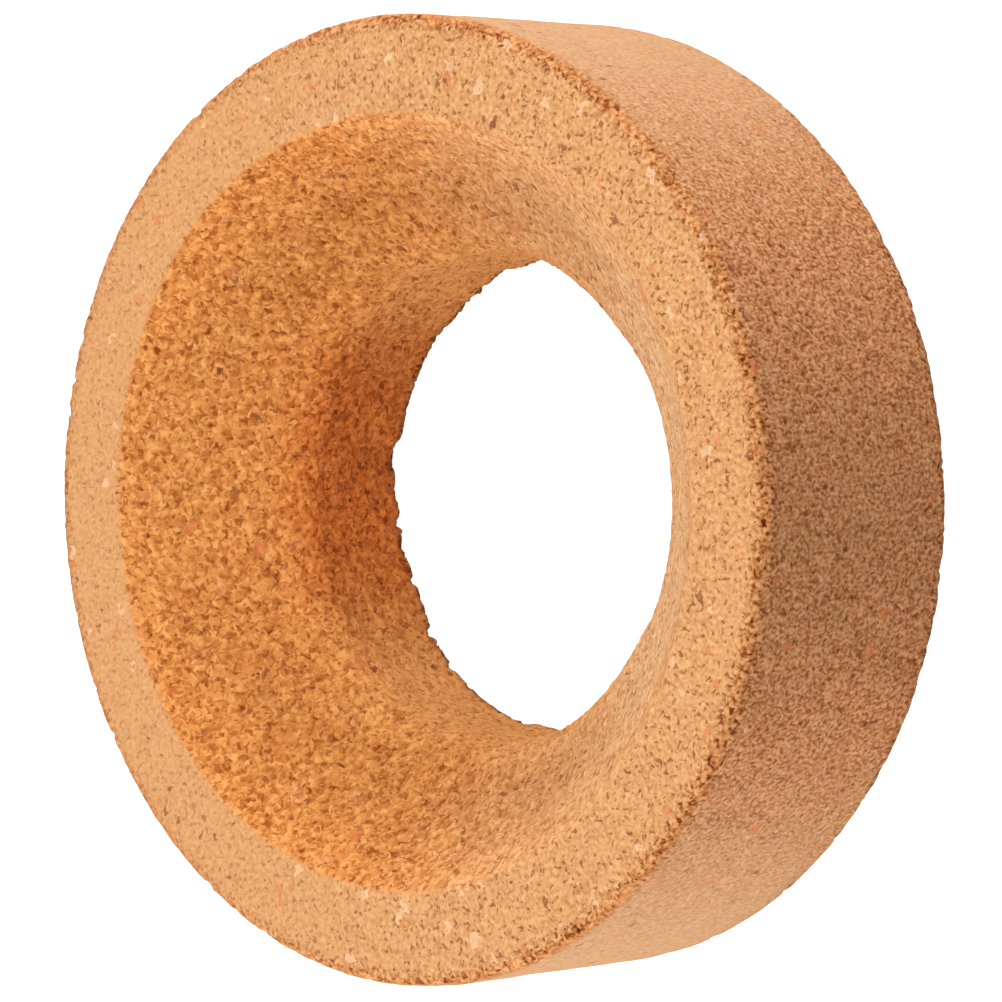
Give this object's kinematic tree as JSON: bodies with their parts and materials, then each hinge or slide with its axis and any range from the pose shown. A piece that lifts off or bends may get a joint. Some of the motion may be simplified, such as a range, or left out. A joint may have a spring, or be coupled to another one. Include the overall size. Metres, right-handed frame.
{
  "type": "cork ring",
  "caption": "Pressed cork ring with a conical seat above a straight bore, which stands a round-bottomed flask upright on a bench.",
  "frame": {"origin": "on the ring's axis at the flat back face, which rests on the bench", "axes": "+Z along the ring's axis, from the back face towards the wide mouth of the seat; X and Y lie in the back face, and the ring is round, so either may point anywhere"},
  "size_m": [0.14, 0.14, 0.04],
  "materials": {
    "cork": "matte, sanded pressed cork granules"
  },
  "bodies": {
    "root": {"cork_ring": "cork"}
  },
  "joints": []
}
